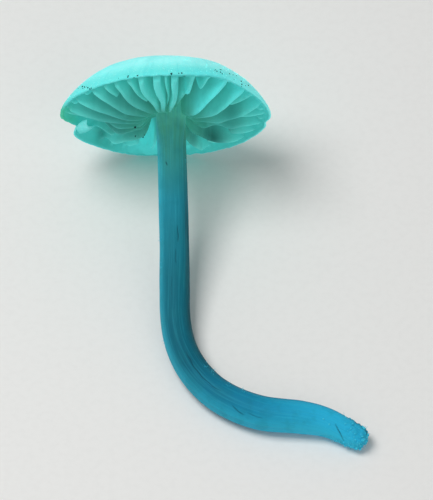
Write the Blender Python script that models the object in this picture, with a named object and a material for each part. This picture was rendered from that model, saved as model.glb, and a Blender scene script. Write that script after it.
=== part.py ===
"""Callistosporium pseudofelleum, a small gilled mushroom, picked and lying on a surface.

Run it with: blender --background --python part.py

The mushroom is modelled standing up in its own frame, in metres: x to the right, y away from the
viewer, z up along the cap's axis, with the stem's axis at x = y = 0 where it meets the level of the
cap's margin. An azimuth is an angle round that axis, 0 towards the viewer and positive to the left.
An empty then lays the mushroom on its back, so that it rests on the far edge of the cap and on the
underside of the stem's foot, and z = 0 is the surface that it lies on.
"""

import math

import bmesh
import bpy
from mathutils import Matrix, Vector

MM = 0.001

# Cap
CAP_RADIUS = 15.95 * MM
CAP_OFFSET = 0.75 * MM            # the cap reaches this much further on its left than its mean radius
CAP_HEIGHT = 6.9 * MM
CAP_FLATNESS = 3.2                # exponents of the dome: a flat crown with straight steep flanks
CAP_SHOULDER = 0.87
FLESH_AT_CENTRE = 2.2 * MM        # upright thickness of the flesh
FLESH_AT_MARGIN = 0.8 * MM
MARGIN_INNER = 0.97               # where the underside starts, as a share of the radius
MARGIN_LIP = 0.2 * MM             # how far the rounded lip hangs below the margin's outer edge
MARGIN_LIP_AT = 0.988
MARGIN_RIPPLE = 0.08 * MM         # a faint ripple of the radius, with so many waves round the cap
RIPPLE_WAVES = 7.0
RIPPLE_TURN = 40.0

# Swells of the margin: azimuth, half-width in degrees, rise
MARGIN_SWELLS = [
    (-28.0, 17.0, 0.72 * MM),
    (55.0, 30.0, -0.40 * MM),
    (140.0, 32.0, -0.22 * MM),
]
SWELL_FADE = 6                    # exponent: how fast a swell fades away from the margin

# Notches in the margin: azimuth, half-width in degrees, depth
MARGIN_NOTCHES = [
    (105.5, 8.2, 1.95 * MM),
    (-100.5, 4.5, 0.5 * MM),
]
NOTCH_FADE = 5

# Gills: azimuth, and the share of the way out from the stem where a short gill begins (0 for a full one)
GILLS = [
    (-3.0, 0.0), (2.2, 0.45), (7.0, 0.0), (16.4, 0.0), (24.0, 0.35), (32.0, 0.0), (39.5, 0.6),
    (48.0, 0.0), (63.0, 0.0), (77.0, 0.0), (86.0, 0.4), (97.0, 0.0), (110.0, 0.0), (123.0, 0.45),
    (136.0, 0.0), (152.0, 0.45), (168.0, 0.0), (180.0, 0.0), (191.0, 0.5), (204.0, 0.0),
    (217.0, 0.45), (230.0, 0.0), (243.0, 0.5), (256.0, 0.0), (272.0, 0.45), (288.0, 0.0),
    (299.0, 0.5), (310.0, 0.0), (325.0, 0.0), (335.0, 0.55), (346.0, 0.0),
]
GILL_DROP = 2.2 * MM              # the free edges' lowest level under the margin
SHORT_GILL_DROP = 1.3 * MM
GILL_START = 0.05                 # ends of the free edge's arch, as shares of the radius
GILL_END = 0.99
GILL_BELLY = 0.6                  # exponent of the arch: below 1, the gill is blunt at both ends
GILL_ROOT_WIDTH = 0.92 * MM
GILL_EDGE_WIDTH = 0.66 * MM
GILL_SHARE = 0.84                 # the most of its sector that a gill may fill
GILL_WAVE = 0.28 * MM             # sideways wave of a gill
WAVE_SPREAD = 5.0                 # how much the wave's start turns from one azimuth to the next
WAVE_LENGTH = 7.0                 # the wave's turn along a gill, in radians
GILL_OUTER = 0.95                 # where the gills end, as a share of the radius
GILL_LAYER = 0.45 * MM            # the thin flesh that carries the gills
GROOVE_ARCH = 0.1 * MM
SHORT_GILL_RAMP = 0.14            # the share of the way over which a short gill comes down
UNBEGUN_WEIGHT = 0.15             # how much room a short gill takes before it begins, a full gill being 1
ROOM_GROWS_BEFORE = 0.2           # the room grows from this far before its beginning
ROOM_GROWS_AFTER = 0.15           # to this far after it
DRAWN_UP = (0.14, 0.28)           # shares of the radius between which the free edge is drawn up to the stem
RUN_DOWN = (0.1, 0.4)             # shares between which it runs down onto the stem on the viewer's side
RUN_DOWN_DEPTH = 0.9
RUN_DOWN_WIDTH = 50.0
BACK_RISE = 1.1 * MM              # the gills are this much shallower at the back
BACK_RISE_WIDTH = 60.0
RIGHT_RISE = 0.9 * MM             # and at the margin on the viewer's right
RIGHT_RISE_SHARES = (0.7, 0.93)
RIGHT_RISE_AT = -35.0
RIGHT_RISE_WIDTH = 35.0
STEM_HOLE_RADIUS = 2.5 * MM
CLEARANCE = 0.3 * MM              # gap that keeps the cap, the gills and the stem separate solids

# Stem: the centre line as x, height and radius, from the cap's flesh down to the blunt end
STEM_BASE_RADIUS = 2.75 * MM
STEM_LINE = [
    (0.1, 4.3, 1.95), (0.15, -1.6, 2.1), (0.33, -7.0, 2.2), (0.5, -13.3, 2.25), (0.7, -20.6, 2.27),
    (0.72, -26.8, 2.33), (0.97, -32.5, 2.3), (2.05, -37.2, 2.33), (4.5, -41.85, 2.45), (8.2, -45.45, 2.55),
    (13.6, -48.0, 2.6), (19.5, -48.75, 2.5), (23.1, -49.45, 2.25), (26.0, -50.85, 2.0),
    (28.0, -52.05, 1.8), (28.85, -52.6, 1.35), (29.2, -52.8, 0.6),
]
STEM_LIES_BELOW = -43.0 * MM      # from this height down the stem's underside lies on the surface
STEM_LEAVES_ABOVE = -3.0 * MM     # and above this height its centre line is the cap's axis
STEM_LEG_DROP = 49.0 * MM         # the lying foot's depth under the margin
STEM_TIP_LIFT = 1.9 * MM          # the blunt end's middle stays this high above the surface

# How hard the contact spots are pressed flat
CAP_PRESS = 0.28 * MM
STEM_PRESS = 0.15 * MM

# Finish
CAP_COLOR = (0.19, 0.82, 0.80)
GILL_COLOR = (0.07, 0.38, 0.34)
STEM_COLOR = (0.012, 0.24, 0.31)
CAP_ROUGHNESS = 0.6
GILL_ROUGHNESS = 0.65
STEM_ROUGHNESS = 0.6

# Mesh
CAP_COLUMNS = 72
CAP_TOP_RINGS = 11
CAP_UNDER_RINGS = 9
RING_CROWDING = 1.7               # exponent: the rings crowd towards the margin
GILL_TOP_RINGS = 5
GILL_FACE_RINGS = 11
GILL_STATIONS = 5                 # across a gill: the groove before it, a root, two edges, a root
GROOVE_STATION = 0
EDGE_STATIONS = (2, 3)
STEM_RINGS_PER_POINT = 4
STEM_BEVEL_RESOLUTION = 8
WELD = 0.002 * MM
SHARP_ANGLE = math.radians(50.0)

# The tilt at which the cap's far edge and the stem's foot touch one plane
LAY_TILT = math.atan2(CAP_RADIUS, STEM_LEG_DROP) - math.asin(
    STEM_BASE_RADIUS / math.hypot(CAP_RADIUS, STEM_LEG_DROP)
)
WORLD_UP = Vector((0.0, -math.cos(LAY_TILT), math.sin(LAY_TILT)))
SURFACE_LEVEL = CAP_PRESS - CAP_RADIUS * math.cos(LAY_TILT)


def remove_startup_objects():
    for obj in list(bpy.data.objects):
        bpy.data.objects.remove(obj, do_unlink=True)


def make_material(name, color, roughness):
    material = bpy.data.materials.new(name)
    material.use_nodes = True
    shader = material.node_tree.nodes["Principled BSDF"]
    shader.inputs["Base Color"].default_value = (*color, 1.0)
    shader.inputs["Roughness"].default_value = roughness
    shader.inputs["Metallic"].default_value = 0.0
    return material


def smoothstep(low, high, value):
    share = min(max((value - low) / (high - low), 0.0), 1.0)
    return share * share * (3.0 - 2.0 * share)


def bump(azimuth, centre, half_width):
    """A smooth hill of height 1 round the cap, at a centre azimuth."""
    away = (azimuth - centre + 180.0) % 360.0 - 180.0
    return math.exp(-((away / half_width) ** 2))


def polar(radius, azimuth, height):
    angle = math.radians(azimuth)
    return Vector((-radius * math.sin(angle), -radius * math.cos(angle), height))


def margin_radius(azimuth):
    """The cap's radius, off centre to the left and faintly rippled."""
    ripple = MARGIN_RIPPLE * math.sin(math.radians(RIPPLE_WAVES * azimuth + RIPPLE_TURN))
    return CAP_RADIUS + CAP_OFFSET * math.sin(math.radians(azimuth)) + ripple


def margin_rise(azimuth):
    return sum(rise * bump(azimuth, centre, width) for centre, width, rise in MARGIN_SWELLS)


def margin_notch(azimuth):
    return sum(depth * bump(azimuth, centre, width) for centre, width, depth in MARGIN_NOTCHES)


def radius_at(share, azimuth):
    """Distance from the axis at a share of the cap's radius, pulled in where the margin is notched."""
    return share * margin_radius(azimuth) - share**NOTCH_FADE * margin_notch(azimuth)


def dome_height(share, azimuth):
    dome = CAP_HEIGHT * max(1.0 - share**CAP_FLATNESS, 0.0) ** CAP_SHOULDER
    return dome + share**SWELL_FADE * margin_rise(azimuth)


def underside_height(share, azimuth):
    flesh = FLESH_AT_CENTRE + (FLESH_AT_MARGIN - FLESH_AT_CENTRE) * share**2
    return dome_height(share, azimuth) - flesh


def formula_surface(name, columns, rings, place, close_rings):
    """A grid wrapped round the axis, with each point put where place(column, ring) says."""
    bm = bmesh.new()
    bmesh.ops.create_grid(bm, x_segments=columns, y_segments=rings, size=1.0)
    for vert in bm.verts:
        column = round((vert.co.x + 1.0) / 2.0 * columns) % columns
        ring = round((vert.co.y + 1.0) / 2.0 * rings)
        if close_rings:
            ring %= rings
        vert.co = place(column, ring)
    bmesh.ops.remove_doubles(bm, verts=bm.verts, dist=WELD)
    bmesh.ops.recalc_face_normals(bm, faces=bm.faces)
    mesh = bpy.data.meshes.new(name)
    bm.to_mesh(mesh)
    bm.free()
    return mesh


def press_flat(mesh, level):
    """Cut away what is under the surface, leaving a small flat spot."""
    bm = bmesh.new()
    bm.from_mesh(mesh)
    cut = bmesh.ops.bisect_plane(
        bm,
        geom=bm.verts[:] + bm.edges[:] + bm.faces[:],
        dist=WELD,
        plane_co=WORLD_UP * level,
        plane_no=WORLD_UP,
        clear_inner=True,
    )
    rim = [item for item in cut["geom_cut"] if isinstance(item, bmesh.types.BMEdge)]
    if rim:
        bmesh.ops.holes_fill(bm, edges=rim, sides=0)
    bmesh.ops.recalc_face_normals(bm, faces=bm.faces)
    bm.to_mesh(mesh)
    bm.free()


def cap_mesh():
    """The cap's flesh: the dome, a rounded lip at the margin, and the underside, in one closed skin."""
    outside = [1.0 - (1.0 - ring / CAP_TOP_RINGS) ** RING_CROWDING for ring in range(CAP_TOP_RINGS + 1)]
    inside = [
        MARGIN_INNER * (1.0 - (ring / CAP_UNDER_RINGS) ** RING_CROWDING)
        for ring in range(CAP_UNDER_RINGS + 1)
    ]
    rings = len(outside) + len(inside)

    def place(column, ring):
        azimuth = 360.0 * column / CAP_COLUMNS
        if ring < len(outside):
            share = outside[ring]
            return polar(radius_at(share, azimuth), azimuth, dome_height(share, azimuth))
        if ring == len(outside):
            lip = margin_rise(azimuth) - MARGIN_LIP
            return polar(radius_at(MARGIN_LIP_AT, azimuth), azimuth, lip)
        share = inside[ring - len(outside) - 1]
        return polar(radius_at(share, azimuth), azimuth, underside_height(share, azimuth))

    mesh = formula_surface("cap", CAP_COLUMNS, rings, place, close_rings=False)
    press_flat(mesh, SURFACE_LEVEL)
    return mesh


def gill_weight(begins, share_out):
    """How much room a gill takes beside its neighbours."""
    if begins == 0.0:
        return 1.0
    grown = smoothstep(begins - ROOM_GROWS_BEFORE, begins + ROOM_GROWS_AFTER, share_out)
    return UNBEGUN_WEIGHT + (1.0 - UNBEGUN_WEIGHT) * grown


def sector_edge(index, share_out):
    """Azimuth of the groove after a gill: midway between full gills, close beside a gill not yet begun."""
    here, begins = GILLS[index]
    after, after_begins = GILLS[(index + 1) % len(GILLS)]
    after += 360.0 if after < here else 0.0
    weight = gill_weight(begins, share_out)
    after_weight = gill_weight(after_begins, share_out)
    return here + (after - here) * weight / (weight + after_weight)


def free_edge(share, azimuth, drop):
    """Height of a gill's free edge: a blunt arch under the margin, drawn up beside the stem.

    On the viewer's side it runs down onto the stem instead, and at the back it is shallower.
    """
    along = min(max((share - GILL_START) / (GILL_END - GILL_START), 0.0), 1.0)
    arch = math.sin(math.pi * along) ** GILL_BELLY
    drawn_up = arch * smoothstep(*DRAWN_UP, share)
    run_down = arch + (RUN_DOWN_DEPTH - arch) * (1.0 - smoothstep(*RUN_DOWN, share))
    depth = drawn_up + (run_down - drawn_up) * bump(azimuth, 0.0, RUN_DOWN_WIDTH)
    back_rise = BACK_RISE * share**2 * bump(azimuth, 180.0, BACK_RISE_WIDTH)
    at_right = smoothstep(*RIGHT_RISE_SHARES, share) * bump(azimuth, RIGHT_RISE_AT, RIGHT_RISE_WIDTH)
    return -drop * depth + back_rise + RIGHT_RISE * at_right


def gills_mesh():
    """All gills in one body: a thin layer under the flesh, folded down into a blade at each azimuth."""
    columns = GILL_STATIONS * len(GILLS)
    top_rings = [1.0 - ring / GILL_TOP_RINGS for ring in range(GILL_TOP_RINGS + 1)]
    face_turns = [math.pi * ring / GILL_FACE_RINGS for ring in range(GILL_FACE_RINGS + 1)]
    face_rings = [0.5 - 0.5 * math.cos(turn) for turn in face_turns]
    outward = top_rings + face_rings

    def share_at(share_out, azimuth):
        inner = STEM_HOLE_RADIUS / margin_radius(azimuth)
        return inner + (GILL_OUTER - inner) * share_out

    def distance(share_out, azimuth):
        return radius_at(share_at(share_out, azimuth), azimuth)

    def station_azimuth(gill, station, share_out, width):
        here = GILLS[gill][0]
        before = sector_edge(gill - 1, share_out)
        before -= 360.0 if before > here else 0.0
        after = sector_edge(gill, share_out)
        if station == GROOVE_STATION:
            return before
        side = -1.0 if station <= EDGE_STATIONS[0] else 1.0
        room = (here - before) if side < 0.0 else (after - here)
        half = math.degrees(width / 2.0 / distance(share_out, here))
        return here + side * min(half, GILL_SHARE * room)

    def wave(azimuth, share_out):
        """Sideways shift of everything at one place, so that neighbours never cross."""
        phase = math.radians(WAVE_SPREAD * azimuth) + WAVE_LENGTH * share_out
        bend = math.sin(phase) * math.sin(math.pi * share_out)
        return math.degrees(GILL_WAVE * bend / distance(share_out, azimuth))

    def place(column, ring):
        gill, station = divmod(column, GILL_STATIONS)
        begins = GILLS[gill][1]
        share_out = outward[ring]
        on_edge = station in EDGE_STATIONS
        width = GILL_EDGE_WIDTH if on_edge else GILL_ROOT_WIDTH
        azimuth = station_azimuth(gill, station, share_out, width)
        azimuth += wave(azimuth, share_out)
        share = share_at(share_out, azimuth)
        radius = radius_at(share, azimuth)
        layer_top = underside_height(share, azimuth) - CLEARANCE
        if ring < len(top_rings):
            return polar(radius, azimuth, layer_top)
        root = layer_top - GILL_LAYER
        if station == GROOVE_STATION:
            return polar(radius, azimuth, root + GROOVE_ARCH)
        if not on_edge:
            return polar(radius, azimuth, root)
        if begins == 0.0:
            return polar(radius, azimuth, min(free_edge(share, azimuth, GILL_DROP), root))
        begun = smoothstep(begins, begins + SHORT_GILL_RAMP, share_out)
        height = free_edge(share, azimuth, SHORT_GILL_DROP)
        return polar(radius, azimuth, min(root + (height - root) * begun, root))

    return formula_surface("gills", columns, len(outward), place, close_rings=True)


def stem_depth(height, radius):
    """How far from the viewer the centre line runs: on the axis above, lying on the surface below."""
    lift = max(radius, STEM_TIP_LIFT) - STEM_PRESS
    lying = (WORLD_UP.z * height - SURFACE_LEVEL - lift) / -WORLD_UP.y
    return lying * smoothstep(-STEM_LEAVES_ABOVE, -STEM_LIES_BELOW, -height)


def stem_mesh():
    """A tapering tube along a smooth curve, with a rounded end, pressed flat where it lies."""
    curve = bpy.data.curves.new("stem_line", "CURVE")
    curve.dimensions = "3D"
    curve.bevel_depth = 1.0 * MM
    curve.bevel_resolution = STEM_BEVEL_RESOLUTION
    curve.use_fill_caps = True
    curve.resolution_u = STEM_RINGS_PER_POINT
    spline = curve.splines.new("BEZIER")
    spline.bezier_points.add(len(STEM_LINE) - 1)
    for point, (x, height, radius) in zip(spline.bezier_points, STEM_LINE):
        point.co = (x * MM, stem_depth(height * MM, radius * MM), height * MM)
        point.radius = radius
        point.handle_left_type = "AUTO"
        point.handle_right_type = "AUTO"
    tube = bpy.data.objects.new("stem_line", curve)
    bpy.context.scene.collection.objects.link(tube)
    evaluated = tube.evaluated_get(bpy.context.evaluated_depsgraph_get())
    mesh = bpy.data.meshes.new_from_object(evaluated)
    mesh.name = "stem"
    bpy.data.objects.remove(tube, do_unlink=True)
    bm = bmesh.new()
    bm.from_mesh(mesh)
    bmesh.ops.remove_doubles(bm, verts=bm.verts, dist=WELD)
    bmesh.ops.recalc_face_normals(bm, faces=bm.faces)
    bm.to_mesh(mesh)
    bm.free()
    press_flat(mesh, SURFACE_LEVEL)
    return mesh


def add_piece(name, mesh, material, parent, collection):
    mesh.name = name
    mesh.materials.clear()
    mesh.materials.append(material)
    mesh.shade_smooth()
    mesh.set_sharp_from_angle(angle=SHARP_ANGLE)
    piece = bpy.data.objects.new(name, mesh)
    piece.parent = parent
    collection.objects.link(piece)
    return piece


def lay_down(empty, pieces):
    """Turn the mushroom onto its back and centre it over the origin, on the surface at z = 0."""
    turn = Matrix.Rotation(LAY_TILT - math.pi / 2.0, 4, "X")
    points = [turn @ vert.co for piece in pieces for vert in piece.data.vertices]
    middle_x = (min(p.x for p in points) + max(p.x for p in points)) / 2.0
    middle_y = (min(p.y for p in points) + max(p.y for p in points)) / 2.0
    empty.rotation_euler = (LAY_TILT - math.pi / 2.0, 0.0, 0.0)
    empty.location = (-middle_x, -middle_y, -SURFACE_LEVEL)


def main():
    remove_startup_objects()
    collection = bpy.data.collections.new("callistosporium_pseudofelleum")
    bpy.context.scene.collection.children.link(collection)
    empty = bpy.data.objects.new("mushroom_axis", None)
    collection.objects.link(empty)
    skin = make_material("cap_skin", CAP_COLOR, CAP_ROUGHNESS)
    gill = make_material("gill_flesh", GILL_COLOR, GILL_ROUGHNESS)
    stalk = make_material("stem_fibre", STEM_COLOR, STEM_ROUGHNESS)
    pieces = [
        add_piece("cap", cap_mesh(), skin, empty, collection),
        add_piece("gills", gills_mesh(), gill, empty, collection),
        add_piece("stem", stem_mesh(), stalk, empty, collection),
    ]
    lay_down(empty, pieces)


main()
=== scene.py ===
"""Looks of a small gilled mushroom that lies on its back and shines cyan, on a pale floor.

Lengths are in millimetres in the mushroom's own frame, as it stood when it grew: x to the right, y away
from the viewer, z up along the cap's axis, with the stem's axis at x = y = 0 at the level of the cap's
margin. An azimuth is an angle in degrees round that axis, 0 towards the viewer, positive to the left. A
share is a distance from the axis as a share of the cap's radius. LAY turns that frame to metres in the
part's frame, where the mushroom lies on the surface z = 0.
"""

import math
import random

import bmesh
import bpy
from mathutils import Matrix, Vector, bvhtree, noise


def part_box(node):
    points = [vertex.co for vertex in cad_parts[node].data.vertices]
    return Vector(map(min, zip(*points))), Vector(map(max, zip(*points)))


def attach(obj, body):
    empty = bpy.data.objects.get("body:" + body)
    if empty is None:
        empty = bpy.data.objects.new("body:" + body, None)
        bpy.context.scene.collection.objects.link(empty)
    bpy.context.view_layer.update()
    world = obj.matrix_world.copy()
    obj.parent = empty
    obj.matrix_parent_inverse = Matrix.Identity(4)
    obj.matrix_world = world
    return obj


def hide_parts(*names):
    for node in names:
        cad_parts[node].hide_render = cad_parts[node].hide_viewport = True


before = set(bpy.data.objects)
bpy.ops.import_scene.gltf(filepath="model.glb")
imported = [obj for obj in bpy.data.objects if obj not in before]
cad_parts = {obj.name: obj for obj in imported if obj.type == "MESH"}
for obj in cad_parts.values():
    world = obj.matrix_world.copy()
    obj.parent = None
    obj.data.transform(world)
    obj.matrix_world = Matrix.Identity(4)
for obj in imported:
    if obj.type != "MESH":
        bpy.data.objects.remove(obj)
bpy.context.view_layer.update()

MM = 0.001

# Cap, as its solid has it
CAP_RADIUS = 15.95
CAP_OFFSET = 0.75                 # the cap reaches this much further on its left than its mean radius
CAP_HEIGHT = 6.9
CAP_FLATNESS = 3.2                # exponents of the dome: a flat crown with straight steep flanks
CAP_SHOULDER = 0.87
FLESH_AT_CENTRE = 2.2
FLESH_AT_MARGIN = 0.8
MARGIN_INNER = 0.97               # the share where the underside starts
MARGIN_RIPPLE = 0.08              # a faint ripple of the radius, with so many waves round the cap
RIPPLE_WAVES = 7.0
RIPPLE_TURN = 40.0

# Swells and notches of the margin: azimuth, half-width, and how far one rises or cuts in
MARGIN_SWELLS = [(-28.0, 17.0, 0.72), (55.0, 30.0, -0.40), (140.0, 32.0, -0.22)]
SWELL_FADE = 6                    # exponent: how fast a swell fades away from the margin
MARGIN_NOTCHES = [(105.5, 8.2, 1.95), (-100.5, 4.5, 0.5)]
NOTCH_FADE = 5

# Gills, as their solid has them: azimuth, and how far out a short gill begins
GILLS = [
    (-3.0, 0.0), (2.2, 0.45), (7.0, 0.0), (16.4, 0.0), (24.0, 0.35), (32.0, 0.0), (39.5, 0.6),
    (48.0, 0.0), (63.0, 0.0), (77.0, 0.0), (86.0, 0.4), (97.0, 0.0), (110.0, 0.0), (123.0, 0.45),
    (136.0, 0.0), (152.0, 0.45), (168.0, 0.0), (180.0, 0.0), (191.0, 0.5), (204.0, 0.0),
    (217.0, 0.45), (230.0, 0.0), (243.0, 0.5), (256.0, 0.0), (272.0, 0.45), (288.0, 0.0),
    (299.0, 0.5), (310.0, 0.0), (325.0, 0.0), (335.0, 0.55), (346.0, 0.0),
]
GILL_DROP = 2.2                   # the free edges' lowest level under the margin
SHORT_GILL_DROP = 1.3
GILL_START = 0.05                 # ends of the free edge's arch
GILL_END = 0.99
GILL_BELLY = 0.6                  # exponent of the arch: below 1, the gill is blunt at both ends
GILL_WAVE = 0.28                  # sideways wave of a gill
WAVE_SPREAD = 5.0                 # how much the wave's start turns from one azimuth to the next
WAVE_LENGTH = 7.0                 # the wave's turn along a gill, in radians
UNBEGUN_WEIGHT = 0.15             # how much room a short gill takes before it begins, a full gill being 1
ROOM_GROWS_BEFORE = 0.2           # the room grows from this far before its beginning
ROOM_GROWS_AFTER = 0.15           # to this far after it
DRAWN_UP = (0.14, 0.28)           # shares between which the free edge is drawn up to the stem
RUN_DOWN = (0.1, 0.4)             # shares between which it runs down onto the stem on the viewer's side
RUN_DOWN_DEPTH = 0.4
RUN_DOWN_WIDTH = 50.0
BACK = 180.0                      # the azimuth furthest from the viewer
BACK_RISE = 1.1                   # the gills are this much shallower at the back
BACK_RISE_WIDTH = 60.0
RIGHT_RISE = 0.9                  # and at the margin on the viewer's right
RIGHT_RISE_SHARES = (0.7, 0.93)
RIGHT_RISE_AT = -35.0
RIGHT_RISE_WIDTH = 35.0
STEM_HOLE_RADIUS = 2.5

# Stem, as its solid has it: x, height and radius along the centre line
STEM_LINE = [
    (0.1, 4.3, 1.95), (0.15, -1.6, 2.1), (0.33, -7.0, 2.2), (0.5, -13.3, 2.25), (0.7, -20.6, 2.27),
    (0.72, -26.8, 2.33), (0.97, -32.5, 2.3), (2.05, -37.2, 2.33), (4.5, -41.85, 2.45), (8.2, -45.45, 2.55),
    (13.6, -48.0, 2.6), (19.5, -48.75, 2.5), (23.1, -49.45, 2.25), (26.0, -50.85, 2.0),
    (28.0, -52.05, 1.8), (28.85, -52.6, 1.35), (29.2, -52.8, 0.6),
]
STEM_BASE_RADIUS = 2.75
STEM_LIES_BELOW = -43.0           # from this height down the stem's underside lies on the surface
STEM_LEAVES_ABOVE = -3.0          # and above this height its centre line is the cap's axis
STEM_LEG_DROP = 49.0              # the lying foot's depth under the margin
STEM_TIP_LIFT = 1.9               # the blunt end lies as high as if its radius were this
CAP_PRESS = 0.28                  # how far the contact spots are pressed flat
STEM_PRESS = 0.15

# How it lies
LAY_TILT = math.atan2(CAP_RADIUS, STEM_LEG_DROP) - math.asin(
    STEM_BASE_RADIUS / math.hypot(CAP_RADIUS, STEM_LEG_DROP)
)
UP = Vector((0.0, -math.cos(LAY_TILT), math.sin(LAY_TILT)))
SURFACE_LEVEL = CAP_PRESS - CAP_RADIUS * math.cos(LAY_TILT)
LAY_RINGS = 60                    # how finely the dome is measured to set it where its solid is
LAY_STEP = 5

# View: the photograph looks at the underside from this far below the cap's level
VIEW_BELOW = math.radians(21.8)
VIEW_SCALE = 0.151                # millimetres in one pixel of the photograph
VIEW_AXIS = (170.0, 115.0)        # the pixel where the stem's axis meets the margin's level
PHOTO_SIZE = (433.0, 500.0)
CAMERA_DISTANCE = 1.5             # in metres
CAMERA_SENSOR = 36.0

# Light: name, place, size and power, in metres and watts
LIGHTS = [("key", (-0.20, 0.0, 0.48), 0.26, 1.65), ("fill", (0.25, -0.45, 0.35), 0.5, 0.5)]
LIGHTS_AIM = (0.0, 0.0, 0.01)
ROOM_LIGHT = 0.3
FLOOR_REACH = 1.5

# Finish: how strongly each surface gives light of its own, and the height of its finest relief
CAP_GLOW = 0.30
CAP_RELIEF = 0.08
GILL_GLOW = 0.38
GILL_RELIEF = 0.03
STEM_GLOW = 0.30
STEM_RELIEF = 0.06
SPECK_RELIEF = 0.02
FLESH_GLOSS = 0.12
FLESH_SEEN_INTO = 0.3
FLESH_SCATTER = (0.25, 0.8, 0.9)  # how far red, green and blue light spread in it, in millimetres

# Fine mesh
CAP_COLUMNS = 360
CAP_TOP_RINGS = 96
CAP_LIP_RINGS = 7
CAP_UNDER_RINGS = 30
RING_CROWDING = 1.4               # exponent: the rings crowd towards the margin
GILL_TOP_RINGS = 6
GILL_FACE_RINGS = 84
STEM_COLUMNS = 168
STEM_RINGS = 480
WELD = 0.0008

ABOUT_A_TURN = 6.3                # radians, for random turns


def smoothstep(low, high, value):
    share = min(max((value - low) / (high - low), 0.0), 1.0)
    return share * share * (3.0 - 2.0 * share)


def turn_from(start, angle):
    """The shorter way round from one angle to another, in degrees."""
    return (angle - start + 180.0) % 360.0 - 180.0


def hill(value, centre, half_width):
    """A smooth hill of height 1 at the centre."""
    return math.exp(-(((value - centre) / half_width) ** 2))


def bump(azimuth, centre, half_width):
    """Such a hill round the cap."""
    return hill(turn_from(centre, azimuth), 0.0, half_width)


def polar(radius, azimuth, height):
    angle = math.radians(azimuth)
    return Vector((-radius * math.sin(angle), -radius * math.cos(angle), height))


def ring_point(azimuth, radius, height):
    """A place on a ring, for a pattern that runs round the cap without a seam."""
    angle = math.radians(azimuth)
    return Vector((radius * math.cos(angle), radius * math.sin(angle), height))


def grain(point, size, seed=0.0):
    """Smooth noise between about -1 and 1, whose lumps are about a size across."""
    return noise.noise(point / size + Vector((seed, seed * 1.7, seed * 2.3)))


def rim_noise(azimuth, pace, row, layer):
    """Noise along the margin, with so many lumps in a degree. Row and layer tell such noises apart."""
    return grain(Vector((azimuth * pace, row, layer)), 1.0)


def margin_radius(azimuth):
    ripple = MARGIN_RIPPLE * math.sin(math.radians(RIPPLE_WAVES * azimuth + RIPPLE_TURN))
    return CAP_RADIUS + CAP_OFFSET * math.sin(math.radians(azimuth)) + ripple


def margin_rise(azimuth):
    return sum(rise * bump(azimuth, centre, width) for centre, width, rise in MARGIN_SWELLS)


def margin_notch(azimuth):
    return sum(depth * bump(azimuth, centre, width) for centre, width, depth in MARGIN_NOTCHES)


def radius_at(share, azimuth):
    """Distance from the axis at a share of the cap's radius, pulled in where the margin is notched."""
    return share * margin_radius(azimuth) - share**NOTCH_FADE * margin_notch(azimuth)


def dome_height(share, azimuth):
    dome = CAP_HEIGHT * max(1.0 - share**CAP_FLATNESS, 0.0) ** CAP_SHOULDER
    return dome + share**SWELL_FADE * margin_rise(azimuth)


def dome_point(share, azimuth):
    return polar(radius_at(share, azimuth), azimuth, dome_height(share, azimuth))


def underside_height(share, azimuth):
    flesh = FLESH_AT_CENTRE + (FLESH_AT_MARGIN - FLESH_AT_CENTRE) * share**2
    return dome_height(share, azimuth) - flesh


def lay_matrix():
    """From the mushroom's frame to the part's: turned onto its back, and set where the cap's solid is."""
    turn = Matrix.Rotation(LAY_TILT - math.pi / 2.0, 4, "X")
    dome = [
        turn @ dome_point(ring / LAY_RINGS, azimuth)
        for ring in range(LAY_RINGS + 1)
        for azimuth in range(0, 360, LAY_STEP)
    ]
    low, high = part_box("cap")
    left = min(point.x for point in dome)
    far = max(point.y for point in dome)
    shift = Matrix.Translation((low.x - left * MM, high.y - far * MM, -SURFACE_LEVEL * MM))
    return shift @ Matrix.Scale(MM, 4) @ turn


LAY = lay_matrix()


def pattern_grid(columns, rows):
    """A grid from -1 to 1, whose vertices carry two patterns for the materials.

    The pattern "lie" says how the grain of the surface runs, and "tone" where it is dark or bright.
    """
    bm = bmesh.new()
    lie = bm.verts.layers.float_vector.new("lie")
    tone = bm.verts.layers.float_vector.new("tone")
    bmesh.ops.create_grid(bm, x_segments=columns, y_segments=rows, size=1.0)
    return bm, lie, tone


def formula_surface(columns, rings, place, close_rings):
    """A grid wrapped round an axis. place(column, ring) gives a point and its two patterns."""
    bm, lie, tone = pattern_grid(columns, rings)
    for vert in bm.verts:
        column = round((vert.co.x + 1.0) / 2.0 * columns) % columns
        ring = round((vert.co.y + 1.0) / 2.0 * rings)
        if close_rings:
            ring %= rings
        vert.co, vert[lie], vert[tone] = place(column, ring)
    bmesh.ops.remove_doubles(bm, verts=bm.verts, dist=WELD)
    bmesh.ops.recalc_face_normals(bm, faces=bm.faces)
    return bm


def flatten_on_surface(bm):
    for vert in bm.verts:
        vert.co.z = max(vert.co.z, 0.0)


def lay_down(bm):
    """Lay the mesh down, flattening what would sink into the surface."""
    bm.transform(LAY)
    flatten_on_surface(bm)


def add_piece(name, bm, material, node=None):
    mesh = bpy.data.meshes.new(name)
    bm.to_mesh(mesh)
    bm.free()
    mesh.shade_smooth()
    mesh.materials.append(material)
    piece = bpy.data.objects.new(name, mesh)
    bpy.context.scene.collection.objects.link(piece)
    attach(piece, "root")
    if node:
        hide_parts(node)
    return piece


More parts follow.
